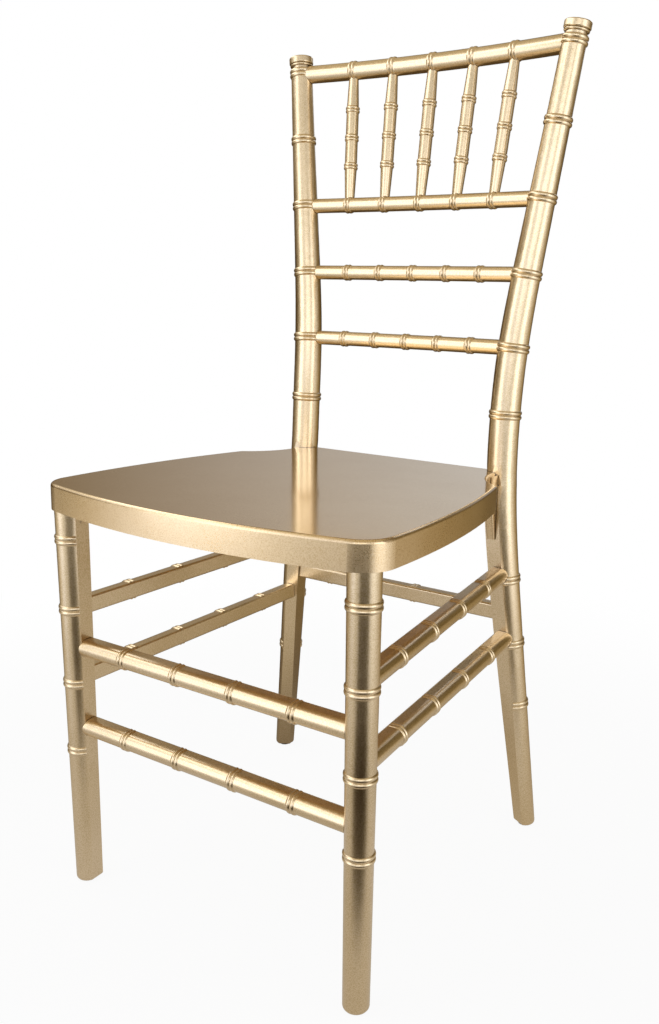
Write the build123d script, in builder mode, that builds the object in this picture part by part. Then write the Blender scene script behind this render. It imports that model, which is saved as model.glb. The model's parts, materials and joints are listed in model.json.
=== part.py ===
from build123d import *
import os
from math import asin, cos, degrees, radians, sin, sqrt, tan

# Resin ballroom chair: turned back posts, rails and spindles, a skirted seat,
# and legs tied by two levels of D-shaped stretchers. Millimetres, +Z up.
# The floor is z = 0, the chair faces -Y and is symmetric about x = 0.
# The origin is on the floor, midway between its widest reach to front and back.

# Fits
fit_gap = 0.2
socket_gap = 0.15
socket_relief = 0.8
rail_tenon_depth = 6.0
stretcher_tenon_depth = 8.0
tenon_root = 6.0

# Ring pairs: two half-round beads side by side
post_bead_width = 5.4
post_bead_height = 1.5
rail_bead_width = 4.8
rail_bead_height = 1.2
spindle_bead_width = 4.2
spindle_bead_height = 1.0
bead_root = 2.5
bead_sink = 0.6
bead_valley = 0.3
ring_end_angle = 3.0

# Back posts: straight below and above two long bends
post_foot_x = 184.6
post_foot_y = 172.8
post_inward_slope = 0.110
post_outward_slope = 0.120
post_forward_slope = 0.042
post_backward_slope = 0.124
splay_bend_z = 506.0
rake_bend_z = 427.0
bend_half_length = 148.0
post_foot_radius = 12.6
post_seat_radius = 17.0
post_top_radius = 13.0
post_lower_sections = 6
post_upper_sections = 9
rear_ring_heights = (160.0, 237.0, 315.0)
waist_ring_z = 505.0

# Front legs: straight, leaning back a little towards the top
leg_x = 179.2
leg_foot_y = -206.0
leg_lean = 0.020
leg_foot_radius = 12.9
leg_top_radius = 15.4
leg_ring_heights = (160.0, 238.0, 320.0, 396.0)

# Inside of the legs: two flats that meet in a corner, as shares of the radius
inner_flat_share = 0.94
joint_flat_share = 0.985
front_heel_share = 0.81
rear_heel_share = 0.9
rear_heel_foot_share = 0.35
rear_heel_full_z = 220.0

# Feet
foot_round = 4.0
glide_thickness = 1.0
glide_margin = 1.0
glide_stem_radius = 3.0
glide_stem_length = 14.0

# Rails of the back, bowed backwards
crest_z = 895.2
crest_radius = 10.2
crest_bow = 17.0
spindle_rail_z = 738.8
spindle_rail_radius = 8.6
spindle_rail_bow = 11.0
upper_rung_z = 658.6
upper_rung_bow = 8.0
lower_rung_z = 579.0
lower_rung_bow = 5.0
rung_radius = 8.5
upper_rung_ring_pitch = 44.8
lower_rung_ring_pitch = 43.0
rail_tenon_radius = 4.5

# Spindles
spindle_steps = (-2, -1, 0, 1, 2)
spindle_top_pitch = 52.6
spindle_foot_pitch = 48.0
spindle_end_radius = 5.9
spindle_radius = 7.5
spindle_ring_pitch = 33.4
spindle_tenon_radius = 3.2
spindle_tenon_depth = 5.0

# Finials
finial_neck_radius = 11.6
finial_neck_length = 2.6
finial_bead_radius = 13.8
finial_bead_length = 2.8
finial_drum_radius = 14.7
finial_drum_length = 8.1
finial_edge_round = 1.5
finial_spigot_radius = 4.0
finial_spigot_length = 9.0

# Seat
seat_height = 447.6
seat_tilt = 2.35
seat_skirt = 27.4
seat_top_thickness = 5.0
seat_wall = 4.0
seat_edge_round = 3.4
seat_side_overhang = 21.2
seat_corner_overhang = 14.6
seat_front_bow = 28.9
seat_corner_radius = 35.0
seat_side_bow = 10.6
seat_back_behind_post = 3.0
seat_clip_out = 34.4
seat_clip_forward = 87.3
seat_clip_end_forward = 20.3
seat_clip_radius = 6.0
socket_wall = 4.0
rib_thickness = 3.0
rib_clearance = 2.0
rib_count = 4
rib_pitch = 78.0
rib_first_y = -147.5

# Gussets under the seat, each tied to its leg by a screw
lug_width = 9.4
lug_tip_depth = 1.0
lug_edge_round = 2.0
front_lug_from_heel = 2.0
front_lug_depth = 6.0
front_lug_drop = 15.0
front_lug_grip = 3.0
front_screw_depth = 12.0
rear_lug_inward = 1.8
rear_lug_depth = 15.0
rear_lug_drop = 50.0
rear_lug_grip = 8.0
rear_screw_depth = 34.0
screw_radius = 2.0
screw_head_radius = 3.8
screw_head_height = 2.6
screw_bite = 9.0

# Post flat that shows above the seat, with an arched top
flat_rise = 21.0
flat_arch_radius = 6.4
flat_arch_share = 0.955

# Stretchers: D-shaped, round outside and flat inside
front_upper_z = 277.6
front_lower_z = 186.6
side_upper_z = 322.0
side_lower_z = 244.3
back_stretcher_z = 274.0
stretcher_height = 18.6
stretcher_depth = 19.0
stretcher_inset = 11.0
stretcher_edge_round = 2.5
stretcher_rings = 4
stretcher_bead_width = 5.0
stretcher_bead_height = 1.2
stretcher_tenon_radius = 4.0

os.makedirs("parts", exist_ok=True)


def bend(z, bend_z):
    """Rise beyond a bend that is spread over twice the bend's half length."""
    start = bend_z - bend_half_length
    if z <= start:
        return 0.0
    if z >= bend_z + bend_half_length:
        return z - bend_z
    return (z - start) ** 2 / (4 * bend_half_length)


def post_axis(z):
    """Axis of the right back post."""
    splay = post_inward_slope + post_outward_slope
    rake = post_forward_slope + post_backward_slope
    x = post_foot_x - post_inward_slope * z + splay * bend(z, splay_bend_z)
    y = post_foot_y - post_forward_slope * z + rake * bend(z, rake_bend_z)
    return Vector(x, y, z)


def post_direction(z):
    """Direction of the right back post's axis."""
    return (post_axis(z + 1) - post_axis(z - 1)).normalized()


def seat_z(y):
    """Height of the seat's top plane, which falls towards the back."""
    return seat_height - y * tan(radians(seat_tilt))


def post_radius(z):
    """The post swells up to the seat and tapers above the lower rung."""
    if z < seat_z(post_foot_y):
        return post_foot_radius + (post_seat_radius - post_foot_radius) * z / seat_z(post_foot_y)
    if z < lower_rung_z:
        return post_seat_radius
    taper = (z - lower_rung_z) / (crest_z - lower_rung_z)
    return post_seat_radius + (post_top_radius - post_seat_radius) * taper


def leg_axis(z):
    """Axis of the right front leg."""
    return Vector(leg_x, leg_foot_y + leg_lean * z, z)


def leg_radius(z):
    """Radius of the front leg, tapered from the seat to the foot."""
    return leg_foot_radius + (leg_top_radius - leg_foot_radius) * z / seat_height


def rear_heel(z):
    """Reach of the rear leg's inner corner, which fades towards the foot."""
    full = min(z / rear_heel_full_z, 1.0)
    return rear_heel_foot_share + (rear_heel_share - rear_heel_foot_share) * full


def leg_corners(axis, radius, heel, facing, grow):
    """Ends of the leg's round side and its inner corner, facing +1 back or -1 front."""
    inner = inner_flat_share * radius
    joint = joint_flat_share * radius
    round_end = axis + Vector(-inner - grow, -facing * sqrt(radius**2 - inner**2), 0)
    corner = axis + Vector(-inner - grow, facing * (heel * radius + grow), 0)
    joint_end = axis + Vector(sqrt(radius**2 - joint**2), facing * (joint + grow), 0)
    return round_end, corner, joint_end


def leg_loft(heights, axis_at, radius_at, heel_at, facing, grow):
    """Leg with a round outside and a square inner corner, through level sections."""
    with BuildPart() as core:
        for z in heights:
            axis = axis_at(z)
            radius = radius_at(z)
            round_end, corner, joint_end = leg_corners(axis, radius, heel_at(z), facing, grow)
            outside = Vector(1, -facing, 0).normalized() * (radius + grow)
            with BuildSketch(Plane.XY.offset(z)):
                with BuildLine():
                    ThreePointArc(
                        (round_end.X, round_end.Y),
                        (axis.X + outside.X, axis.Y + outside.Y),
                        (joint_end.X, joint_end.Y),
                    )
                    Line((joint_end.X, joint_end.Y), (corner.X, corner.Y))
                    Line((corner.X, corner.Y), (round_end.X, round_end.Y))
                make_face()
        loft()
    return core.part


def spread(low, high, count):
    """Evenly spaced heights, both ends included."""
    return [low + (high - low) * i / (count - 1) for i in range(count)]


seat_plane = Plane((0, 0, seat_height), (1, 0, 0), (0, sin(radians(seat_tilt)), cos(radians(seat_tilt))))
seat_ceiling = seat_plane.offset(-seat_top_thickness)
seat_floor = seat_plane.offset(-seat_skirt)

post_seat_y = post_axis(seat_z(post_foot_y)).Y
post_seat_top = seat_z(post_seat_y)
post_split_z = post_seat_top - seat_skirt / 2
post_seat = post_axis(post_seat_top)
post_flat_y = post_seat.Y - flat_arch_share * post_seat_radius
leg_seat = leg_axis(seat_z(leg_foot_y))
collar_z = crest_z + rail_bead_height
collar = post_axis(collar_z)
collar_up = post_direction(collar_z)
post_top = Plane(collar + collar_up * post_bead_width, z_dir=collar_up)
post_end_z = post_top.origin.Z + post_bead_width


def post_core(grow):
    """Right back post without rings: cornered up to the seat, round above it."""
    lower = leg_loft(
        spread(glide_thickness, post_split_z, post_lower_sections),
        post_axis,
        post_radius,
        rear_heel,
        -1,
        grow,
    )
    with BuildPart() as core:
        for z in spread(post_split_z, post_end_z, post_upper_sections):
            with BuildSketch(Plane.XY.offset(z)):
                with Locations((post_axis(z).X, post_axis(z).Y)):
                    Circle(post_radius(z) + grow)
        loft()
        with BuildSketch(Plane((post_seat.X, post_flat_y - grow, post_seat.Z), (1, 0, 0), (0, -1, 0))):
            with Locations((0, flat_rise - flat_arch_radius)):
                Circle(flat_arch_radius)
                Rectangle(2 * flat_arch_radius, flat_rise + seat_skirt, align=(Align.CENTER, Align.MAX))
        extrude(amount=post_seat_radius, mode=Mode.SUBTRACT)
        add(lower)
        with BuildSketch(post_top):
            Circle(2 * post_top_radius)
        extrude(amount=3 * post_bead_width, mode=Mode.SUBTRACT)
    return core.part


def front_leg_core(grow):
    """Right front leg without rings, up to the underside of the seat's top."""
    uncut = leg_loft(
        (glide_thickness, leg_seat.Z), leg_axis, leg_radius, lambda z: front_heel_share, 1, grow
    )
    with BuildPart() as core:
        add(uncut)
        with BuildSketch(seat_ceiling.offset(grow - fit_gap)):
            with Locations((leg_seat.X, leg_seat.Y)):
                Circle(3 * leg_top_radius)
        extrude(amount=seat_skirt, mode=Mode.SUBTRACT)
    return core.part


def ring_pair(center, direction, radius, bead_width, bead_height, grow=0.0):
    """Two beads round a member, reaching into it so that they join it."""
    across = Plane(center, z_dir=direction)
    section = Plane(center, across.x_dir, across.y_dir)
    root = radius - bead_root
    foot = radius - bead_sink + grow
    valley = radius + bead_valley + grow
    crown = radius + bead_height + grow
    end = bead_width + grow
    with BuildPart() as ring:
        with BuildSketch(section):
            with BuildLine():
                Line((root, -end), (foot, -end))
                ThreePointArc((foot, -end), (crown, -bead_width / 2), (valley, 0))
                ThreePointArc((valley, 0), (crown, bead_width / 2), (foot, end))
                Polyline((foot, end), (root, end), (root, -end))
            make_face()
        revolve(axis=Axis(center, direction))
    return ring.part


def outer_rings(heights, axis_at, direction_at, radius_at, heel_at, facing, rooms):
    """Leg rings, which end just before the two inner flats and leave room for the stretchers."""
    rings = [
        ring_pair(axis_at(z), direction_at(z), radius_at(z), post_bead_width, post_bead_height)
        for z in heights
    ]
    reach = 4 * post_seat_radius
    with BuildPart() as trimmed:
        add(rings)
        add(rooms, mode=Mode.SUBTRACT)
        for z in heights:
            axis = axis_at(z)
            round_end, corner, joint_end = leg_corners(axis, radius_at(z), heel_at(z), facing, 0)
            to_round = (round_end - axis).normalized().rotate(Axis.Z, facing * ring_end_angle)
            to_joint = (joint_end - axis).normalized().rotate(Axis.Z, -facing * ring_end_angle)
            round_far = axis + to_round * reach
            corner_far = axis + (corner - axis).normalized() * 2 * reach
            joint_far = axis + to_joint * reach
            with BuildSketch(Plane.XY.offset(z)):
                with BuildLine():
                    Polyline(
                        (axis.X, axis.Y),
                        (round_far.X, round_far.Y),
                        (corner_far.X, corner_far.Y),
                        (joint_far.X, joint_far.Y),
                        close=True,
                    )
                make_face()
            extrude(amount=2 * post_bead_width, both=True, mode=Mode.SUBTRACT)
    return trimmed.part


class Rail:
    """A round rail between the posts, on an arc that bows backwards."""

    def __init__(self, z, radius, bow, ring_pitch):
        end = post_axis(z)
        self.z = z
        self.radius = radius
        self.ring_pitch = ring_pitch
        self.half = end.X
        self.middle_y = end.Y + bow
        self.bend_radius = (end.X**2 + bow**2) / (2 * bow)

    def point(self, x):
        """Point on the rail's centre line."""
        drop = self.bend_radius - sqrt(self.bend_radius**2 - x**2)
        return Vector(x, self.middle_y - drop, self.z)

    def direction(self, x):
        """Direction of the centre line, towards +X."""
        return Vector(sqrt(self.bend_radius**2 - x**2), -x, 0).normalized()

    def core(self, grow):
        """Rail with its rings, from one post's axis to the other's."""
        rings = [
            ring_pair(
                self.point(i * self.ring_pitch),
                self.direction(i * self.ring_pitch),
                self.radius,
                rail_bead_width,
                rail_bead_height,
                grow,
            )
            for i in spindle_steps
        ]
        bend_axis = Axis((0, self.middle_y - self.bend_radius, self.z), (0, 0, 1))
        with BuildPart() as core:
            with BuildSketch(Plane(self.point(self.half), z_dir=self.direction(self.half))):
                Circle(self.radius + grow)
            revolve(axis=bend_axis, revolution_arc=2 * degrees(asin(self.half / self.bend_radius)))
            add(rings)
        return core.part

    def tenon_plane(self, side):
        """Plane at a tenon's end inside the post, looking along the rail to its middle."""
        end = self.point(side * self.half)
        inward = self.direction(side * self.half) * -side
        return Plane(end + inward * (post_radius(self.z) - rail_tenon_depth), z_dir=inward)


crest = Rail(crest_z, crest_radius, crest_bow, spindle_top_pitch)
spindle_foot = Rail(spindle_rail_z, spindle_rail_radius, spindle_rail_bow, spindle_foot_pitch)
upper_rung = Rail(upper_rung_z, rung_radius, upper_rung_bow, upper_rung_ring_pitch)
lower_rung = Rail(lower_rung_z, rung_radius, lower_rung_bow, lower_rung_ring_pitch)
rails = (crest, spindle_foot, upper_rung, lower_rung)

post_cut = post_core(fit_gap)
post_cut_left = mirror(post_cut, Plane.YZ)
leg_cut = front_leg_core(fit_gap)
leg_cut_left = mirror(leg_cut, Plane.YZ)
crest_cut = crest.core(fit_gap)
spindle_foot_cut = spindle_foot.core(fit_gap)


class Stretcher:
    """A D-shaped bar from one leg's axis to another's, with its flat towards the inside."""

    def __init__(self, start, end, inside):
        self.start = start
        self.length = (end - start).length
        self.along = (end - start).normalized()
        self.inside = (inside - self.along * inside.dot(self.along)).normalized()
        self.section = Plane(start, self.inside, self.along)

    def bar(self, grow):
        """Bar without its rings, before its ends are cut to the legs."""
        half = stretcher_height / 2 + grow
        centre = stretcher_inset - stretcher_depth + stretcher_height / 2
        flat = stretcher_inset + grow
        with BuildPart() as bar:
            with BuildSketch(self.section) as profile:
                with BuildLine():
                    Line((flat, -half), (centre, -half))
                    ThreePointArc((centre, -half), (centre - half, 0), (centre, half))
                    Polyline((centre, half), (flat, half), (flat, -half))
                make_face()
                fillet(profile.vertices().group_by(Axis.X)[-1], stretcher_edge_round)
            extrude(amount=self.length)
        return bar.part

    def core(self):
        """Bar with its rings, before its ends are cut to the legs."""
        half = stretcher_height / 2
        centre = stretcher_inset - stretcher_depth + half
        flat_edge = stretcher_inset - stretcher_edge_round
        width = stretcher_bead_width
        crown = -stretcher_bead_height
        step = self.length / (stretcher_rings + 1)
        plain = self.bar(0.0)
        with BuildPart() as core:
            add(plain)
            for i in range(stretcher_rings):
                with BuildLine(self.section.offset(step * (i + 1))):
                    first = Line((flat_edge, -half), (centre, -half))
                    ThreePointArc((centre, -half), (centre - half, 0), (centre, half))
                    Line((centre, half), (flat_edge, half))
                with BuildSketch(Plane(first @ 0, self.along, first % 0)):
                    with BuildLine():
                        Line((-width, bead_root), (-width, bead_sink))
                        ThreePointArc((-width, bead_sink), (-width / 2, crown), (0, -bead_valley))
                        ThreePointArc((0, -bead_valley), (width / 2, crown), (width, bead_sink))
                        Polyline((width, bead_sink), (width, bead_root), (-width, bead_root))
                    make_face()
                sweep()
        return core.part

    def tenon_plane(self, flat, at_end):
        """Plane at a tenon's end inside a leg, looking along the bar to its middle."""
        reach = flat - stretcher_tenon_depth
        middle = self.start + self.inside * (stretcher_inset - stretcher_depth / 2)
        if at_end:
            return Plane(middle + self.along * (self.length - reach), z_dir=-self.along)
        return Plane(middle + self.along * reach, z_dir=self.along)


def mirrored(point):
    """The same point on the chair's other side."""
    return Vector(-point.X, point.Y, point.Z)


inward = Vector(-1, 0, 0)
backward = Vector(0, 1, 0)
front_upper = Stretcher(mirrored(leg_axis(front_upper_z)), leg_axis(front_upper_z), backward)
front_lower = Stretcher(mirrored(leg_axis(front_lower_z)), leg_axis(front_lower_z), backward)
side_upper = Stretcher(leg_axis(side_upper_z), post_axis(side_upper_z), inward)
side_lower = Stretcher(leg_axis(side_lower_z), post_axis(side_lower_z), inward)
back_bar = Stretcher(
    mirrored(post_axis(back_stretcher_z)), post_axis(back_stretcher_z), -backward
)
front_bars = ((front_upper, front_upper_z), (front_lower, front_lower_z))
side_bars = ((side_upper, side_upper_z), (side_lower, side_lower_z))


def cross_tenon(bar, radius, at_end):
    """Tenon plane of a bar that runs across the chair, into a leg's inner flat."""
    return bar.tenon_plane(inner_flat_share * radius, at_end)


def side_tenon(bar, radius, at_end):
    """Tenon plane of a bar that runs along the chair's side, into a leg's joint flat."""
    return bar.tenon_plane(joint_flat_share * radius, at_end)


def peg(planes, radius, length):
    """Round pegs, each standing on its own plane."""
    with BuildPart() as pegs:
        with Locations(planes):
            Cylinder(radius, length, align=(Align.CENTER, Align.CENTER, Align.MIN))
    return pegs.part


def spindle_axis(step):
    """Ends of a spindle on the centre lines of its two rails."""
    return spindle_foot.point(step * spindle_foot_pitch), crest.point(step * spindle_top_pitch)


def spindle_pegs(step, radius, depth):
    """Foot and top pegs of a spindle, sunk to a depth in its rails."""
    foot, top = spindle_axis(step)
    up = (top - foot).normalized()
    foot_plane = Plane(foot + up * (spindle_rail_radius - depth), z_dir=up)
    top_plane = Plane(top - up * (crest_radius - depth), z_dir=-up)
    return peg([foot_plane], radius, depth + tenon_root), peg([top_plane], radius, depth + tenon_root)


class Lug:
    """A gusset under the seat, against a leg's flat, with a screw through it into the leg."""

    def __init__(self, foot, away, depth, drop, grip, screw_depth):
        ceiling = seat_skirt - seat_top_thickness
        self.depth = depth
        self.drop = drop
        self.grip = grip
        self.profile = Plane(foot, away, away.cross(seat_plane.z_dir))
        self.screw = Plane(
            foot + seat_plane.z_dir * (ceiling - screw_depth) + away * grip, z_dir=-away
        )

    def body(self):
        """Web from the seat's underside down to the gusset's tip, running into the leg."""
        ceiling = seat_skirt - seat_top_thickness / 2
        slope = self.profile.x_dir * (lug_tip_depth - self.depth) - self.profile.y_dir * self.drop
        with BuildPart() as web:
            with BuildSketch(self.profile):
                with BuildLine():
                    Polyline(
                        (-socket_wall, ceiling),
                        (self.depth, ceiling),
                        (self.depth, 0),
                        (lug_tip_depth, -self.drop),
                        (-socket_wall, -self.drop),
                        close=True,
                    )
                make_face()
            extrude(amount=lug_width / 2, both=True)
            fillet(web.edges().filter_by(Axis(self.profile.origin, slope)), lug_edge_round)
        return web.part

    def screw_body(self, gap, head_length):
        """Screw with its head under the gusset's screw face, or the room for it."""
        with BuildPart() as screw:
            with Locations(self.screw):
                Cylinder(
                    screw_radius + gap,
                    self.grip + screw_bite + gap,
                    align=(Align.CENTER, Align.CENTER, Align.MIN),
                )
            with Locations(self.screw):
                Cylinder(
                    screw_head_radius + gap,
                    head_length,
                    align=(Align.CENTER, Align.CENTER, Align.MAX),
                )
        return screw.part


def on_plane(plane, x, y):
    """Point above or below (x, y) on a plane that tilts about the X axis."""
    return Vector(x, y, plane.origin.Z - (y - plane.origin.Y) * tan(radians(seat_tilt)))


leg_floor = leg_axis(on_plane(seat_floor, leg_x, leg_seat.Y).Z)
leg_floor_radius = leg_radius(leg_floor.Z)
post_floor = post_axis(on_plane(seat_floor, post_seat.X, post_seat.Y).Z)
post_floor_radius = post_radius(post_floor.Z)
front_lug = Lug(
    on_plane(
        seat_floor,
        leg_floor.X - inner_flat_share * leg_floor_radius,
        leg_floor.Y + front_heel_share * leg_floor_radius - front_lug_from_heel - lug_width / 2,
    ),
    inward,
    front_lug_depth,
    front_lug_drop,
    front_lug_grip,
    front_screw_depth,
)
rear_lug = Lug(
    on_plane(
        seat_floor,
        post_seat.X - rear_lug_inward,
        post_floor.Y - joint_flat_share * post_floor_radius,
    ),
    -seat_plane.y_dir,
    rear_lug_depth,
    rear_lug_drop,
    rear_lug_grip,
    rear_screw_depth,
)

# Back posts
side_rooms = [bar.bar(fit_gap) for bar, z in side_bars]
post_rings = outer_rings(
    rear_ring_heights, post_axis, post_direction, post_radius, rear_heel, -1, side_rooms
)
post_solid = post_core(0.0)
round_ring_heights = (
    waist_ring_z,
    lower_rung_z,
    upper_rung_z,
    spindle_rail_z,
    (spindle_rail_z + crest_z) / 2,
    collar_z,
)
round_rings = [
    ring_pair(post_axis(z), post_direction(z), post_radius(z), post_bead_width, post_bead_height)
    for z in round_ring_heights
]
rail_cuts = [crest_cut, spindle_foot_cut, upper_rung.core(fit_gap), lower_rung.core(fit_gap)]
rail_sockets = [
    peg(
        [rail.tenon_plane(1).offset(-socket_relief)],
        rail_tenon_radius + socket_gap,
        rail_tenon_depth + socket_relief + tenon_root,
    )
    for rail in rails
]
post_bar_sockets = peg(
    [side_tenon(bar, post_radius(z), True).offset(-socket_relief) for bar, z in side_bars]
    + [cross_tenon(back_bar, post_radius(back_stretcher_z), True).offset(-socket_relief)],
    stretcher_tenon_radius + socket_gap,
    stretcher_tenon_depth + socket_relief + tenon_root,
)
rear_foot = post_axis(glide_thickness)
rear_screw_hole = rear_lug.screw_body(socket_gap, rear_lug_depth)
with BuildPart() as right_back_post:
    add(round_rings)
    add(rail_cuts, mode=Mode.SUBTRACT)
    add(post_rings)
    add(post_solid)
    fillet(right_back_post.faces().sort_by(Axis.Z)[0].edges(), foot_round)
    add(rail_sockets, mode=Mode.SUBTRACT)
    add(post_bar_sockets, mode=Mode.SUBTRACT)
    add(rear_screw_hole, mode=Mode.SUBTRACT)
    with Locations(post_top):
        Cylinder(
            finial_spigot_radius + socket_gap,
            2 * (finial_spigot_length + socket_relief),
            mode=Mode.SUBTRACT,
        )
    with Locations(rear_foot):
        Cylinder(
            glide_stem_radius + socket_gap,
            2 * (glide_stem_length + socket_relief),
            mode=Mode.SUBTRACT,
        )

with BuildPart() as left_back_post:
    mirror(right_back_post.part, about=Plane.YZ)

# Finials
finial_base = post_top.offset(fit_gap)
bead_top = finial_neck_length + finial_bead_length
with BuildPart() as right_finial:
    with BuildSketch(Plane(finial_base.origin, finial_base.x_dir, finial_base.y_dir)) as cap:
        with BuildLine():
            Polyline(
                (0, finial_spigot_length),
                (finial_spigot_radius, finial_spigot_length),
                (finial_spigot_radius, 0),
                (finial_neck_radius, 0),
                (finial_neck_radius, -finial_neck_length),
            )
            ThreePointArc(
                (finial_neck_radius, -finial_neck_length),
                (finial_bead_radius, -finial_neck_length - finial_bead_length / 2),
                (finial_neck_radius, -bead_top),
            )
            Polyline(
                (finial_neck_radius, -bead_top),
                (finial_drum_radius, -bead_top),
                (finial_drum_radius, -bead_top - finial_drum_length),
                (0, -bead_top - finial_drum_length),
                (0, finial_spigot_length),
            )
        make_face()
        fillet(cap.vertices().group_by(Axis.X)[-1], finial_edge_round)
    revolve(axis=Axis(finial_base.origin, finial_base.z_dir))

with BuildPart() as left_finial:
    mirror(right_finial.part, about=Plane.YZ)


def rail_body(rail):
    """Rail cut to the posts, with a tenon at each end."""
    bar = rail.core(0.0)
    tenons = peg(
        [rail.tenon_plane(side) for side in (-1, 1)], rail_tenon_radius, rail_tenon_depth + tenon_root
    )
    with BuildPart() as body:
        add(bar)
        add([post_cut, post_cut_left], mode=Mode.SUBTRACT)
        add(tenons)
    return body.part


spindle_sockets = [
    spindle_pegs(i, spindle_tenon_radius + socket_gap, spindle_tenon_depth + socket_relief)
    for i in spindle_steps
]

# Rails of the back
crest_body = rail_body(crest)
finial_room = peg([post_top], finial_bead_radius + fit_gap, bead_top)
finial_room_left = mirror(finial_room, about=Plane.YZ)
with BuildPart() as crest_rail:
    add(crest_body)
    add([finial_room, finial_room_left], mode=Mode.SUBTRACT)
    add([top for foot, top in spindle_sockets], mode=Mode.SUBTRACT)

spindle_rail_body = rail_body(spindle_foot)
with BuildPart() as spindle_rail:
    add(spindle_rail_body)
    add([foot for foot, top in spindle_sockets], mode=Mode.SUBTRACT)

upper_rung_body = rail_body(upper_rung)
with BuildPart() as upper_back_rung:
    add(upper_rung_body)

lower_rung_body = rail_body(lower_rung)
with BuildPart() as lower_back_rung:
    add(lower_rung_body)


def spindle_body(step):
    """Turned spindle between its two rails, with a tenon at each end."""
    foot, top = spindle_axis(step)
    up = (top - foot).normalized()
    length = (top - foot).length
    middle = length / 2
    rings = [
        ring_pair(
            foot + up * (middle + spindle_ring_pitch * i),
            up,
            spindle_radius,
            spindle_bead_width,
            spindle_bead_height,
        )
        for i in (-1, 0, 1)
    ]
    tenons = spindle_pegs(step, spindle_tenon_radius, spindle_tenon_depth)
    across = Plane(foot, z_dir=up)
    with BuildPart() as body:
        with BuildSketch(Plane(foot, across.x_dir, -across.y_dir)):
            with BuildLine():
                Polyline(
                    (0, 0),
                    (spindle_end_radius, 0),
                    (spindle_end_radius, spindle_rail_radius),
                    (spindle_radius, middle - spindle_ring_pitch),
                    (spindle_radius, middle + spindle_ring_pitch),
                    (spindle_end_radius, length - crest_radius),
                    (spindle_end_radius, length),
                    (0, length),
                    close=True,
                )
            make_face()
        revolve(axis=Axis(foot, up))
        add(rings)
        add([crest_cut, spindle_foot_cut], mode=Mode.SUBTRACT)
        add(tenons)
    return body.part


# Spindles
spindle_bodies = [spindle_body(i) for i in spindle_steps]
with BuildPart() as back_spindle_1:
    add(spindle_bodies[0])
with BuildPart() as back_spindle_2:
    add(spindle_bodies[1])
with BuildPart() as back_spindle_3:
    add(spindle_bodies[2])
with BuildPart() as back_spindle_4:
    add(spindle_bodies[3])
with BuildPart() as back_spindle_5:
    add(spindle_bodies[4])

# Front legs
leg_solid = front_leg_core(0.0)
leg_rings = outer_rings(
    leg_ring_heights,
    leg_axis,
    lambda z: Vector(0, leg_lean, 1),
    leg_radius,
    lambda z: front_heel_share,
    1,
    side_rooms,
)
leg_bar_sockets = peg(
    [side_tenon(bar, leg_radius(z), False).offset(-socket_relief) for bar, z in side_bars]
    + [cross_tenon(bar, leg_radius(z), True).offset(-socket_relief) for bar, z in front_bars],
    stretcher_tenon_radius + socket_gap,
    stretcher_tenon_depth + socket_relief + tenon_root,
)
front_foot = leg_axis(glide_thickness)
front_screw_hole = front_lug.screw_body(socket_gap, front_lug_depth)
with BuildPart() as front_right_leg:
    add(leg_solid)
    fillet(front_right_leg.faces().sort_by(Axis.Z)[0].edges(), foot_round)
    add(leg_rings)
    add(leg_bar_sockets, mode=Mode.SUBTRACT)
    add(front_screw_hole, mode=Mode.SUBTRACT)
    with Locations(front_foot):
        Cylinder(
            glide_stem_radius + socket_gap,
            2 * (glide_stem_length + socket_relief),
            mode=Mode.SUBTRACT,
        )

with BuildPart() as front_left_leg:
    mirror(front_right_leg.part, about=Plane.YZ)

# Stretchers
front_upper_bar = front_upper.core()
front_upper_tenons = peg(
    [cross_tenon(front_upper, leg_radius(front_upper_z), end) for end in (False, True)],
    stretcher_tenon_radius,
    stretcher_tenon_depth + tenon_root,
)
with BuildPart() as front_upper_stretcher:
    add(front_upper_bar)
    add([leg_cut, leg_cut_left], mode=Mode.SUBTRACT)
    add(front_upper_tenons)

front_lower_bar = front_lower.core()
front_lower_tenons = peg(
    [cross_tenon(front_lower, leg_radius(front_lower_z), end) for end in (False, True)],
    stretcher_tenon_radius,
    stretcher_tenon_depth + tenon_root,
)
with BuildPart() as front_lower_stretcher:
    add(front_lower_bar)
    add([leg_cut, leg_cut_left], mode=Mode.SUBTRACT)
    add(front_lower_tenons)

back_bar_core = back_bar.core()
back_bar_tenons = peg(
    [cross_tenon(back_bar, post_radius(back_stretcher_z), end) for end in (False, True)],
    stretcher_tenon_radius,
    stretcher_tenon_depth + tenon_root,
)
with BuildPart() as back_stretcher:
    add(back_bar_core)
    add([post_cut, post_cut_left], mode=Mode.SUBTRACT)
    add(back_bar_tenons)

side_upper_bar = side_upper.core()
side_upper_tenons = peg(
    [
        side_tenon(side_upper, leg_radius(side_upper_z), False),
        side_tenon(side_upper, post_radius(side_upper_z), True),
    ],
    stretcher_tenon_radius,
    stretcher_tenon_depth + tenon_root,
)
with BuildPart() as right_upper_side_stretcher:
    add(side_upper_bar)
    add([leg_cut, post_cut], mode=Mode.SUBTRACT)
    add(side_upper_tenons)

with BuildPart() as left_upper_side_stretcher:
    mirror(right_upper_side_stretcher.part, about=Plane.YZ)

side_lower_bar = side_lower.core()
side_lower_tenons = peg(
    [
        side_tenon(side_lower, leg_radius(side_lower_z), False),
        side_tenon(side_lower, post_radius(side_lower_z), True),
    ],
    stretcher_tenon_radius,
    stretcher_tenon_depth + tenon_root,
)
with BuildPart() as right_lower_side_stretcher:
    add(side_lower_bar)
    add([leg_cut, post_cut], mode=Mode.SUBTRACT)
    add(side_lower_tenons)

with BuildPart() as left_lower_side_stretcher:
    mirror(right_lower_side_stretcher.part, about=Plane.YZ)

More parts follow.
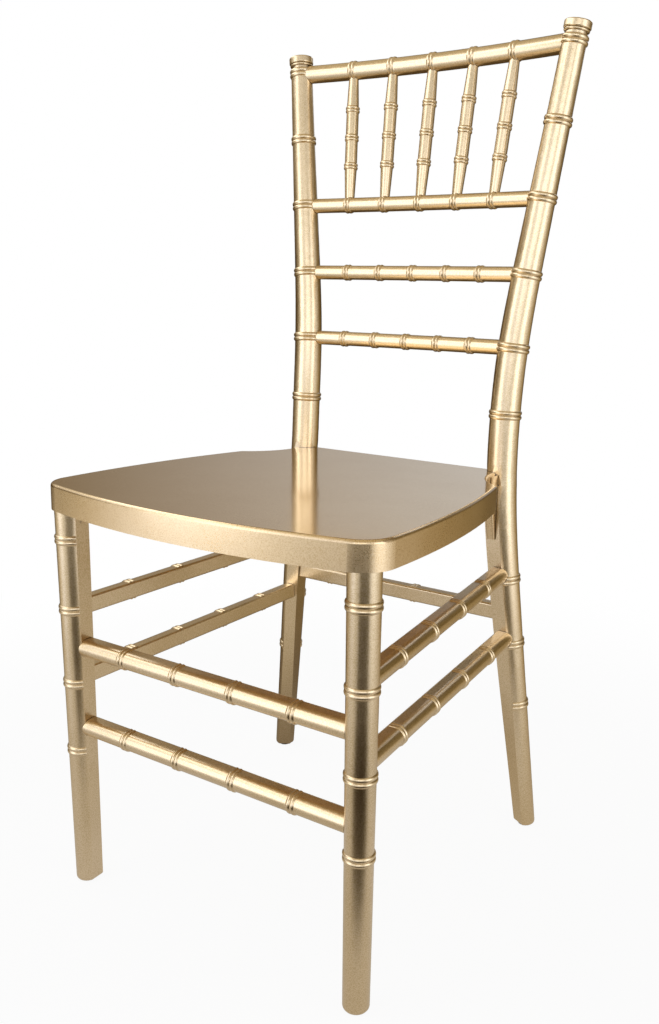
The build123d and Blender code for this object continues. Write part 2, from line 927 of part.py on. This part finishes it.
# Seat
seat_corner = (leg_seat.X + seat_side_overhang, leg_seat.Y - seat_corner_overhang)
clip_start = (post_seat.X + seat_clip_out, post_seat.Y - seat_clip_forward)
clip_end = (post_seat.X, post_seat.Y - seat_clip_end_forward)
seat_back = (post_seat.X, post_seat.Y + seat_back_behind_post)
with BuildSketch() as seat_plan:
    with BuildLine():
        ThreePointArc(
            (-seat_corner[0], seat_corner[1]),
            (0, seat_corner[1] - seat_front_bow),
            seat_corner,
        )
        right_edge = [
            SagittaArc(seat_corner, clip_start, -seat_side_bow),
            TangentArc(clip_end, clip_start, tangent=(0, -1)),
            Line(clip_end, seat_back),
        ]
        mirror(right_edge, about=Plane.YZ)
        Line(seat_back, (-seat_back[0], seat_back[1]))
    make_face()
    fillet(seat_plan.vertices().group_by(Axis.Y)[0], seat_corner_radius)
    fillet(
        seat_plan.vertices().filter_by_position(Axis.Y, clip_start[1] - 1, clip_start[1] + 1),
        seat_clip_radius,
    )

seat_plan_inner = offset(seat_plan.sketch, -seat_wall, kind=Kind.INTERSECTION)
lug_bodies = [front_lug.body(), rear_lug.body()]
lug_bodies += [mirror(lug, about=Plane.YZ) for lug in lug_bodies]
screw_rooms = [front_screw_hole, rear_screw_hole]
screw_rooms += [mirror(room, about=Plane.YZ) for room in screw_rooms]
rib_span = 2 * seat_corner[0]
boss_side = 2 * (leg_top_radius + socket_wall)
post_boss_side = 2 * (post_seat_radius + socket_wall)
with BuildPart() as seat_shell:
    with BuildSketch(seat_floor):
        add(seat_plan.sketch)
    extrude(amount=seat_skirt)
    fillet(seat_shell.faces().sort_by(Axis.Z)[-1].edges(), seat_edge_round)
    with BuildSketch(seat_floor):
        add(seat_plan_inner)
        with Locations((leg_seat.X, leg_seat.Y), (-leg_seat.X, leg_seat.Y)):
            Rectangle(boss_side, boss_side, mode=Mode.SUBTRACT)
        with Locations((post_seat.X, post_seat.Y), (-post_seat.X, post_seat.Y)):
            Rectangle(post_boss_side, post_boss_side, mode=Mode.SUBTRACT)
    extrude(amount=seat_skirt - seat_top_thickness, mode=Mode.SUBTRACT)
    with BuildSketch(seat_floor.offset(rib_clearance)):
        for i in range(rib_count):
            offset_along = rib_pitch * (i - (rib_count - 1) / 2)
            with Locations((offset_along, 0)):
                Rectangle(rib_thickness, rib_span)
            with Locations((0, rib_first_y + rib_pitch * i)):
                Rectangle(rib_span, rib_thickness)
        add(seat_plan_inner, mode=Mode.INTERSECT)
    extrude(amount=seat_skirt - seat_top_thickness - rib_clearance)
    add(lug_bodies)
    add([leg_cut, leg_cut_left, post_cut, post_cut_left], mode=Mode.SUBTRACT)
    add(screw_rooms, mode=Mode.SUBTRACT)

# Screws
front_screw = front_lug.screw_body(0.0, screw_head_height)
with BuildPart() as front_right_seat_screw:
    add(front_screw)
with BuildPart() as front_left_seat_screw:
    mirror(front_screw, about=Plane.YZ)

rear_screw = rear_lug.screw_body(0.0, screw_head_height)
with BuildPart() as rear_right_seat_screw:
    add(rear_screw)
with BuildPart() as rear_left_seat_screw:
    mirror(rear_screw, about=Plane.YZ)


def glide_body(foot, foot_radius):
    """Pad under a foot, with a stem in the leg."""
    with BuildPart() as glide:
        with Locations(foot):
            Cylinder(
                foot_radius - foot_round - glide_margin,
                glide_thickness,
                align=(Align.CENTER, Align.CENTER, Align.MAX),
            )
            Cylinder(
                glide_stem_radius,
                glide_stem_length,
                align=(Align.CENTER, Align.CENTER, Align.MIN),
            )
    return glide.part


# Glides
front_glide = glide_body(front_foot, leg_foot_radius)
with BuildPart() as front_right_glide:
    add(front_glide)
with BuildPart() as front_left_glide:
    mirror(front_glide, about=Plane.YZ)

rear_glide = glide_body(rear_foot, post_foot_radius)
with BuildPart() as rear_right_glide:
    add(rear_glide)
with BuildPart() as rear_left_glide:
    mirror(rear_glide, about=Plane.YZ)

pieces = {
    "left_back_post": left_back_post,
    "right_back_post": right_back_post,
    "left_finial": left_finial,
    "right_finial": right_finial,
    "crest_rail": crest_rail,
    "spindle_rail": spindle_rail,
    "upper_back_rung": upper_back_rung,
    "lower_back_rung": lower_back_rung,
    "back_spindle_1": back_spindle_1,
    "back_spindle_2": back_spindle_2,
    "back_spindle_3": back_spindle_3,
    "back_spindle_4": back_spindle_4,
    "back_spindle_5": back_spindle_5,
    "seat_shell": seat_shell,
    "front_left_leg": front_left_leg,
    "front_right_leg": front_right_leg,
    "front_upper_stretcher": front_upper_stretcher,
    "front_lower_stretcher": front_lower_stretcher,
    "left_upper_side_stretcher": left_upper_side_stretcher,
    "left_lower_side_stretcher": left_lower_side_stretcher,
    "right_upper_side_stretcher": right_upper_side_stretcher,
    "right_lower_side_stretcher": right_lower_side_stretcher,
    "back_stretcher": back_stretcher,
    "front_left_glide": front_left_glide,
    "front_right_glide": front_right_glide,
    "rear_left_glide": rear_left_glide,
    "rear_right_glide": rear_right_glide,
    "front_left_seat_screw": front_left_seat_screw,
    "front_right_seat_screw": front_right_seat_screw,
    "rear_left_seat_screw": rear_left_seat_screw,
    "rear_right_seat_screw": rear_right_seat_screw,
}
for name, piece in pieces.items():
    piece.part.label = name
    export_step(piece.part, f"parts/{name}.step")
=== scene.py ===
import json
import math

import bpy
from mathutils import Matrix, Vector

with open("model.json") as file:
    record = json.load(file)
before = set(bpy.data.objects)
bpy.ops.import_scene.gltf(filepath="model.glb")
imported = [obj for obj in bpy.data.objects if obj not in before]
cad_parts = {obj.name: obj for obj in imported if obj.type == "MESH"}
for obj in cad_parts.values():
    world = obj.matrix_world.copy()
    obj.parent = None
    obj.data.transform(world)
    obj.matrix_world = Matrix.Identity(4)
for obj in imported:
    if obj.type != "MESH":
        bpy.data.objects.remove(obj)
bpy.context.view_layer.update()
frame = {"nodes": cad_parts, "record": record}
scene = bpy.context.scene
scene.view_settings.view_transform = "Standard"

# Camera at the photograph's viewing angle (metres, degrees, millimetres)
CAMERA_PLACE = (0.5887, -0.8546, 0.6769)
CAMERA_AZIMUTH = 34.10
CAMERA_PITCH = 14.58
CAMERA_LENS = 34.414
CAMERA_SENSOR = 36.0

# Paint tones, linear
GOLD_LIGHT = (0.92, 0.72, 0.43, 1)
GOLD_DEEP = (0.72, 0.53, 0.25, 1)
# Painted shade: the dark the gold paints turn to in their grooves and crevices
GOLD_PAINTED_SHADE = (0.14, 0.07, 0.015, 1)
SEAT_LIGHT = (0.93, 0.73, 0.46, 1)
SEAT_DEEP = (0.78, 0.57, 0.30, 1)
GLIDE_LIGHT = (0.030, 0.027, 0.024, 1)
GLIDE_DEEP = (0.014, 0.013, 0.012, 1)
STEEL_LIGHT = (0.56, 0.55, 0.53, 1)
STEEL_DEEP = (0.34, 0.33, 0.32, 1)
WHITE = (1, 1, 1, 1)

# Grain of the paints: scales per metre, heights and reaches in metres, the rest as shares
FLAKE_SCALE = 900.0
FLAKE_HEIGHT = 0.0003
FLAKE_SHARE = 0.5
FRAME_FLAKE_BUMP = 0.06
SKIRT_FLAKE_BUMP = 0.15
PATCH_SCALE = 14.0
TONE_RANGE = (0.2, 0.75)
# Painted shade in the grooves: how far the occlusion looks, in metres, and the openness over which the
# gold passes from its painted shade to its own tone
GROOVE_SHADE_REACH = 0.003
GROOVE_SHADE_OPENNESS = (0.40, 0.74)
GLIDE_GRAIN_SCALE = 1800.0
GLIDE_GRAIN_HEIGHT = 0.0002
GLIDE_GRAIN_BUMP = 0.2
SCRATCH_SCALE = 2500.0
SCRATCH_HEIGHT = 0.0001
SCRATCH_BUMP = 0.1
NOISE_RANGE = (0.3, 0.7)

# Roughness of the paints, the sum of two noises that sets it on the gold ones, and how far
# upwards the seat's surface has to face to count as its top
WEAR_RANGE = (0.6, 1.4)
FRAME_ROUGHNESS = (0.28, 0.37)
SKIRT_ROUGHNESS = (0.26, 0.36)
SEAT_TOP_ROUGHNESS = 0.14
SEAT_TOP_FACING = (0.80, 0.99)
GLIDE_ROUGHNESS = (0.5, 0.7)
SCREW_ROUGHNESS = (0.25, 0.4)

# What the chair's polished paint mirrors round it, by azimuth in degrees
# The floor glows with these tones to glossy rays: painted light and shade on the floor
FLOOR_MIRROR_PAINTED_LIGHT = (
    (-180, (0.08, 0.05, 0.02)),
    (-110, (0.08, 0.05, 0.02)),
    (-85, (0.20, 0.16, 0.10)),
    (-60, (0.62, 0.54, 0.40)),
    (-36, (0.94, 0.98, 1.12)),
    (-10, (0.66, 0.63, 0.58)),
    (20, (0.60, 0.56, 0.50)),
    (60, (0.80, 0.78, 0.76)),
    (89, (1.12, 1.14, 1.20)),
    (112, (0.90, 0.86, 0.80)),
    (130, (0.55, 0.47, 0.34)),
    (147, (0.34, 0.25, 0.12)),
    (162, (0.24, 0.17, 0.07)),
    (180, (0.08, 0.05, 0.02)),
)
HORIZON_MIRROR = (
    (-180, (0.03, 0.015, 0.003)),
    (-95, (0.03, 0.015, 0.003)),
    (-78, (0.05, 0.03, 0.01)),
    (-62, (0.26, 0.21, 0.14)),
    (-48, (0.42, 0.38, 0.30)),
    (-36, (0.98, 1.00, 1.10)),
    (-10, (1.00, 1.03, 1.16)),
    (34, (0.90, 0.91, 0.96)),
    (60, (0.80, 0.80, 0.82)),
    (88, (1.00, 1.03, 1.14)),
    (105, (0.82, 0.80, 0.79)),
    (119, (0.44, 0.39, 0.31)),
    (132, (0.19, 0.14, 0.07)),
    (147, (0.09, 0.055, 0.015)),
    (162, (0.08, 0.05, 0.01)),
    (180, (0.03, 0.015, 0.003)),
)
WALL_MIRROR = (
    (-180, (0.40, 0.39, 0.39)),
    (-160, (0.62, 0.62, 0.63)),
    (-146, (0.48, 0.44, 0.40)),
    (-130, (0.24, 0.18, 0.11)),
    (-112, (0.18, 0.13, 0.07)),
    (-82, (0.18, 0.13, 0.07)),
    (-62, (0.24, 0.19, 0.12)),
    (-48, (0.36, 0.32, 0.25)),
    (-32, (1.05, 1.07, 1.16)),
    (10, (1.12, 1.15, 1.26)),
    (34, (0.98, 0.99, 1.04)),
    (60, (0.80, 0.80, 0.82)),
    (88, (1.00, 1.03, 1.14)),
    (105, (0.80, 0.77, 0.74)),
    (119, (0.52, 0.47, 0.40)),
    (132, (0.28, 0.22, 0.13)),
    (148, (0.16, 0.11, 0.03)),
    (162, (0.15, 0.10, 0.03)),
    (180, (0.40, 0.39, 0.39)),
)
HIGH_MIRROR = (
    (-180, (0.05, 0.03, 0.01)),
    (-152, (0.06, 0.04, 0.015)),
    (-138, (0.28, 0.22, 0.14)),
    (-110, (0.60, 0.54, 0.44)),
    (-80, (0.80, 0.77, 0.73)),
    (-62, (0.98, 0.99, 1.04)),
    (-30, (0.98, 0.99, 1.04)),
    (0, (0.70, 0.68, 0.66)),
    (90, (0.50, 0.47, 0.43)),
    (130, (0.18, 0.13, 0.06)),
    (180, (0.05, 0.03, 0.01)),
)
CEILING = (0.52, 0.43, 0.28, 1)

# The world's light on matte surfaces
AMBIENT = (0.5, 0.5, 0.5, 1)

# Heights on the unit sphere over which one band of the studio passes into the next
HORIZON_TO_WALL = (0.04, 0.11)
WALL_TO_HIGH = (0.27, 0.36)
HIGH_TO_CEILING = (0.62, 0.82)

# Floor: its paper and shadow, then, as the paint mirrors it, the painted shadow of the chair near it and
# the painted dark patch under the camera, for the camera, its stand and their shadow. Reaches are in
# metres
FLOOR_REACH = 12.0
FLOOR_PAPER = (0.86, 0.86, 0.86, 1)
SHADOW_REACH = (0.45, 1.1)
SHADOW_COVER = (0.93, 1.0)
# Painted shadow of the chair on the floor as the paint mirrors it: its colour, reach, share and reach
# backwards
CHAIR_SHADOW_FLOOR = (0.45, 0.40, 0.33, 1)
CHAIR_SHADOW_REACH = (0.5, 1.8)
CHAIR_SHADOW_SHARE = (0.85, 0.0)
CHAIR_SHADOW_BACK = (-0.5, 0.1)
# Painted dark patch under the camera, for the camera, its stand and their shadow: its colour, start, end,
# spread and edge
CAMERA_SHADOW_FLOOR = (0.02, 0.01, 0.002, 1)
CAMERA_SHADOW_START = (0.36, 0.52)
CAMERA_SHADOW_END = (2.4, 3.4)
CAMERA_SHADOW_SPREAD = 0.44
CAMERA_SHADOW_EDGE = (-0.05, 0.28)


class Graph:
    """Short calls for building a node tree."""

    def __init__(self, tree):
        self.tree = tree

    def add(self, kind, **settings):
        node = self.tree.nodes.new(kind)
        for key, value in settings.items():
            setattr(node, key, value)
        return node

    def link(self, source, target):
        self.tree.links.new(source, target)

    def feed(self, socket, value):
        if isinstance(value, (int, float, tuple)):
            socket.default_value = value
        else:
            self.link(value, socket)

    def math(self, operation, a, b=0.0):
        node = self.add("ShaderNodeMath", operation=operation)
        self.feed(node.inputs[0], a)
        self.feed(node.inputs[1], b)
        return node.outputs["Value"]

    def ramp(self, value, low, high, start=0.0, end=1.0):
        node = self.add("ShaderNodeMapRange", interpolation_type="SMOOTHSTEP")
        for key, number in (("From Min", low), ("From Max", high), ("To Min", start), ("To Max", end)):
            node.inputs[key].default_value = number
        self.link(value, node.inputs["Value"])
        return node.outputs["Result"]

    def mix(self, factor, a, b):
        # The mix node repeats its socket names, so its colour sockets go by number
        node = self.add("ShaderNodeMix", data_type="RGBA")
        self.feed(node.inputs[0], factor)
        self.feed(node.inputs[6], a)
        self.feed(node.inputs[7], b)
        return node.outputs[2]

    def split(self, vector):
        node = self.add("ShaderNodeSeparateXYZ")
        self.link(vector, node.inputs["Vector"])
        return node.outputs["X"], node.outputs["Y"], node.outputs["Z"]

    def along(self, x, y, direction_x, direction_y):
        """How far a place lies along a level direction."""
        return self.math(
            "ADD", self.math("MULTIPLY", x, direction_x), self.math("MULTIPLY", y, direction_y)
        )

    def azimuth_colour(self, x, y, stops):
        """Colour by azimuth: 0 in front of the chair and 90 to its right in the view."""
        # The ramp runs from 0 at -180 degrees to 1 at 180
        turn = self.math("ARCTAN2", x, self.math("MULTIPLY", y, -1.0))
        share = self.math("MULTIPLY_ADD", turn, 0.5 / math.pi)
        share.node.inputs[2].default_value = 0.5
        node = self.add("ShaderNodeValToRGB")
        marks = node.color_ramp.elements
        while len(marks) < len(stops):
            marks.new(0.5)
        for mark, (degrees, colour) in zip(marks, stops):
            mark.position = degrees / 360 + 0.5
            mark.color = (*colour, 1)
        self.link(share, node.inputs["Fac"])
        return node.outputs["Color"]


class Paint(Graph):
    """A material's nodes, round its Principled shader."""

    def __init__(self, name):
        self.material = bpy.data.materials.new(name)
        self.material.use_nodes = True
        super().__init__(self.material.node_tree)
        self.shader = self.tree.nodes["Principled BSDF"]
        self.place = self.add("ShaderNodeTexCoord").outputs["Object"]

    def noise(self, scale, detail=2.0, roughness=0.5):
        node = self.add("ShaderNodeTexNoise")
        node.inputs["Scale"].default_value = scale
        node.inputs["Detail"].default_value = detail
        node.inputs["Roughness"].default_value = roughness
        self.link(self.place, node.inputs["Vector"])
        return node.outputs["Fac"]

    def openness(self, reach):
        """How open a place is to the room, low in the grooves between the beads."""
        node = self.add("ShaderNodeAmbientOcclusion", samples=8)
        node.inputs["Distance"].default_value = reach
        return node.outputs["AO"]

    def bump(self, height, strength, distance):
        node = self.add("ShaderNodeBump")
        node.inputs["Strength"].default_value = strength
        node.inputs["Distance"].default_value = distance
        self.link(height, node.inputs["Height"])
        self.link(node.outputs["Normal"], self.shader.inputs["Normal"])

    def set(self, **values):
        for key, value in values.items():
            self.shader.inputs[key.replace("_", " ")].default_value = value


def flake_paint(name, light, deep):
    """Metallic paint: fine flakes, slow tone changes and painted shade in the grooves."""
    n = Paint(name)
    flake = n.noise(FLAKE_SCALE, detail=2.0, roughness=0.6)
    patch = n.noise(PATCH_SCALE, detail=3.0, roughness=0.5)
    fine = n.math("MULTIPLY", n.ramp(flake, *NOISE_RANGE), FLAKE_SHARE)
    slow = n.math("MULTIPLY", patch, 1 - FLAKE_SHARE)
    body = n.mix(n.ramp(n.math("ADD", fine, slow), *TONE_RANGE), deep, light)
    # Painted shade: the colour darkens where ambient occlusion finds grooves and crevices
    colour = n.mix(n.ramp(n.openness(GROOVE_SHADE_REACH), *GROOVE_SHADE_OPENNESS), GOLD_PAINTED_SHADE, body)
    n.link(colour, n.shader.inputs["Base Color"])
    return n, flake, n.math("ADD", flake, patch)


def frame_paint():
    n, flake, wear = flake_paint("gold_frame_paint", GOLD_LIGHT, GOLD_DEEP)
    n.link(n.ramp(wear, *WEAR_RANGE, *FRAME_ROUGHNESS), n.shader.inputs["Roughness"])
    n.bump(flake, FRAME_FLAKE_BUMP, FLAKE_HEIGHT)
    n.set(Metallic=1.0, Coat_Weight=1.0, Coat_Roughness=0.20, Coat_IOR=2.5)
    return n.material


def seat_paint():
    """The seat's top is smoother than its skirt."""
    n, flake, wear = flake_paint("gold_seat_paint", SEAT_LIGHT, SEAT_DEEP)
    normal = n.add("ShaderNodeNewGeometry").outputs["Normal"]
    top = n.ramp(n.split(normal)[2], *SEAT_TOP_FACING)
    side = n.math("SUBTRACT", 1.0, top)
    skirt_part = n.math("MULTIPLY", n.ramp(wear, *WEAR_RANGE, *SKIRT_ROUGHNESS), side)
    top_part = n.math("MULTIPLY", top, SEAT_TOP_ROUGHNESS)
    n.link(n.math("ADD", skirt_part, top_part), n.shader.inputs["Roughness"])
    n.bump(n.math("MULTIPLY", flake, side), SKIRT_FLAKE_BUMP, FLAKE_HEIGHT)
    n.set(Metallic=1.0, Coat_Weight=0.8, Coat_Roughness=0.10, Coat_IOR=1.9)
    return n.material


def glide_plastic():
    n = Paint("glide_plastic")
    grain = n.noise(GLIDE_GRAIN_SCALE, detail=3.0)
    n.link(n.mix(grain, GLIDE_DEEP, GLIDE_LIGHT), n.shader.inputs["Base Color"])
    n.link(n.ramp(grain, *NOISE_RANGE, *GLIDE_ROUGHNESS), n.shader.inputs["Roughness"])
    n.bump(grain, GLIDE_GRAIN_BUMP, GLIDE_GRAIN_HEIGHT)
    return n.material


def screw_steel():
    n = Paint("screw_steel")
    scratch = n.noise(SCRATCH_SCALE, detail=2.0)
    n.link(n.mix(scratch, STEEL_DEEP, STEEL_LIGHT), n.shader.inputs["Base Color"])
    n.link(n.ramp(scratch, *NOISE_RANGE, *SCREW_ROUGHNESS), n.shader.inputs["Roughness"])
    n.bump(scratch, SCRATCH_BUMP, SCRATCH_HEIGHT)
    n.set(Metallic=1.0)
    return n.material


def floor_paper():
    """White to the camera with a faint shadow; to glossy rays it glows with painted light and shade, toned
    by azimuth.
    """
    paper = bpy.data.materials.new("floor_paper")
    paper.use_nodes = True
    g = Graph(paper.node_tree)
    g.tree.nodes.clear()
    rays = g.add("ShaderNodeLightPath")
    x, y = g.split(g.add("ShaderNodeTexCoord").outputs["Object"])[:2]
    sine = math.sin(math.radians(CAMERA_AZIMUTH))
    cosine = math.cos(math.radians(CAMERA_AZIMUTH))
    ahead = g.along(x, y, sine, -cosine)
    beside = g.along(x, y, cosine, sine)
    radius = g.math("SQRT", g.math("ADD", g.math("MULTIPLY", x, x), g.math("MULTIPLY", y, y)))
    # Painted shadow of the chair on the floor, as the paint mirrors it
    near = g.math("MULTIPLY", g.ramp(radius, *CHAIR_SHADOW_REACH, *CHAIR_SHADOW_SHARE), g.ramp(ahead, *CHAIR_SHADOW_BACK))
    # Painted dark patch under the camera, for the camera, its stand and their shadow
    dark = g.math("MULTIPLY", g.ramp(ahead, *CAMERA_SHADOW_START), g.ramp(ahead, *CAMERA_SHADOW_END, 1.0, 0.0))
    off_line = g.math("SUBTRACT", g.math("ABSOLUTE", beside), g.math("MULTIPLY", ahead, CAMERA_SHADOW_SPREAD))
    dark = g.math("MULTIPLY", dark, g.ramp(off_line, *CAMERA_SHADOW_EDGE, 1.0, 0.0))
    # Painted light and shade of the floor as the paint mirrors it, with the chair's painted shadow and the
    # camera's painted dark patch over it
    mirrored = g.mix(near, g.azimuth_colour(x, y, FLOOR_MIRROR_PAINTED_LIGHT), CHAIR_SHADOW_FLOOR)
    mirrored = g.mix(dark, mirrored, CAMERA_SHADOW_FLOOR)
    # To glossy rays the floor glows with this painted light and shade; to the camera it glows white
    glow = g.add("ShaderNodeEmission")
    g.link(g.mix(rays.outputs["Is Glossy Ray"], WHITE, mirrored), glow.inputs["Color"])
    matte = g.add("ShaderNodeBsdfDiffuse")
    matte.inputs["Color"].default_value = FLOOR_PAPER
    shown = g.math("MULTIPLY", rays.outputs["Is Camera Ray"], g.ramp(radius, *SHADOW_REACH, *SHADOW_COVER))
    shown = g.math("MAXIMUM", shown, rays.outputs["Is Glossy Ray"])
    blend = g.add("ShaderNodeMixShader")
    g.link(shown, blend.inputs[0])
    g.link(matte.outputs[0], blend.inputs[1])
    g.link(glow.outputs[0], blend.inputs[2])
    g.link(blend.outputs[0], g.add("ShaderNodeOutputMaterial").inputs["Surface"])
    return paper


def studio_world():
    """White behind the chair, and the studio's walls and ceiling in the paint."""
    world = bpy.data.worlds.new("studio")
    world.use_nodes = True
    g = Graph(world.node_tree)
    g.tree.nodes.clear()
    rays = g.add("ShaderNodeLightPath")
    x, y, z = g.split(g.add("ShaderNodeTexCoord").outputs["Generated"])
    room = g.azimuth_colour(x, y, HORIZON_MIRROR)
    room = g.mix(g.ramp(z, *HORIZON_TO_WALL), room, g.azimuth_colour(x, y, WALL_MIRROR))
    room = g.mix(g.ramp(z, *WALL_TO_HIGH), room, g.azimuth_colour(x, y, HIGH_MIRROR))
    room = g.mix(g.ramp(z, *HIGH_TO_CEILING), room, CEILING)
    seen = g.math("MAXIMUM", rays.outputs["Is Camera Ray"], rays.outputs["Is Transmission Ray"])
    tone = g.mix(rays.outputs["Is Glossy Ray"], AMBIENT, room)
    sky = g.add("ShaderNodeBackground")
    g.link(g.mix(seen, tone, WHITE), sky.inputs["Color"])
    g.link(sky.outputs[0], g.add("ShaderNodeOutputWorld").inputs["Surface"])
    return world


def around(azimuth, distance, height):
    """A point round the chair: azimuth 0 is in front of it and 90 to its right in the view."""
    angle = math.radians(azimuth)
    return Vector((math.sin(angle) * distance, -math.cos(angle) * distance, height))


def softbox(name, place, aim_height, width, tall, radiance):
    """A large soft lamp that faces a point above the chair's middle."""
    data = bpy.data.lights.new(name, "AREA")
    data.shape = "RECTANGLE"
    data.size = width
    data.size_y = tall
    data.energy = radiance * math.pi * width * tall
    lamp = bpy.data.objects.new(name, data)
    scene.collection.objects.link(lamp)
    lamp.location = place
    aim = Vector((0, 0, aim_height)) - lamp.location
    lamp.rotation_euler = aim.to_track_quat("-Z", "Y").to_euler()
    lamp.visible_camera = False


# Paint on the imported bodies
MATERIALS = {
    "frame_resin": frame_paint(),
    "seat_resin": seat_paint(),
    "glide_plastic": glide_plastic(),
    "screw_steel": screw_steel(),
}
SLOTS = {part["node"]: part["material_slot"] for part in frame["record"]["subparts"]}
for name, node in frame["nodes"].items():
    node.data.materials.clear()
    node.data.materials.append(MATERIALS[SLOTS[name]])

# Lamps
softbox("left_softbox", around(-30, 1.85, 0.85), aim_height=0.85, width=1.0, tall=1.5, radiance=0.98)
softbox("right_softbox", around(84, 1.9, 0.85), aim_height=0.85, width=1.0, tall=1.5, radiance=0.98)
softbox("front_softbox", around(34, 2.4, 1.30), aim_height=1.0, width=1.7, tall=0.9, radiance=0.98)
softbox("top_softbox", around(-88, 1.5, 2.0), aim_height=0.45, width=1.8, tall=0.8, radiance=1.4)
softbox("overhead_softbox", around(-38, 1.35, 1.8), aim_height=0.4, width=0.7, tall=0.6, radiance=1.2)
softbox("back_softbox", around(178, 2.0, 1.6), aim_height=0.4, width=1.4, tall=0.25, radiance=1.2)

# Floor and backdrop
floor_corners = [(x * FLOOR_REACH, y * FLOOR_REACH, 0) for x, y in ((-1, -1), (1, -1), (1, 1), (-1, 1))]
floor_mesh = bpy.data.meshes.new("floor")
floor_mesh.from_pydata(floor_corners, [], [(0, 1, 2, 3)])
floor = bpy.data.objects.new("floor", floor_mesh)
scene.collection.objects.link(floor)
floor_mesh.materials.append(floor_paper())
scene.world = studio_world()

# Camera
camera_data = bpy.data.cameras.new("camera")
camera_data.lens = CAMERA_LENS
camera_data.sensor_width = CAMERA_SENSOR
camera = bpy.data.objects.new("camera", camera_data)
scene.collection.objects.link(camera)
camera.location = CAMERA_PLACE
camera.rotation_euler = (math.radians(90 - CAMERA_PITCH), 0, math.radians(CAMERA_AZIMUTH))
scene.camera = camera
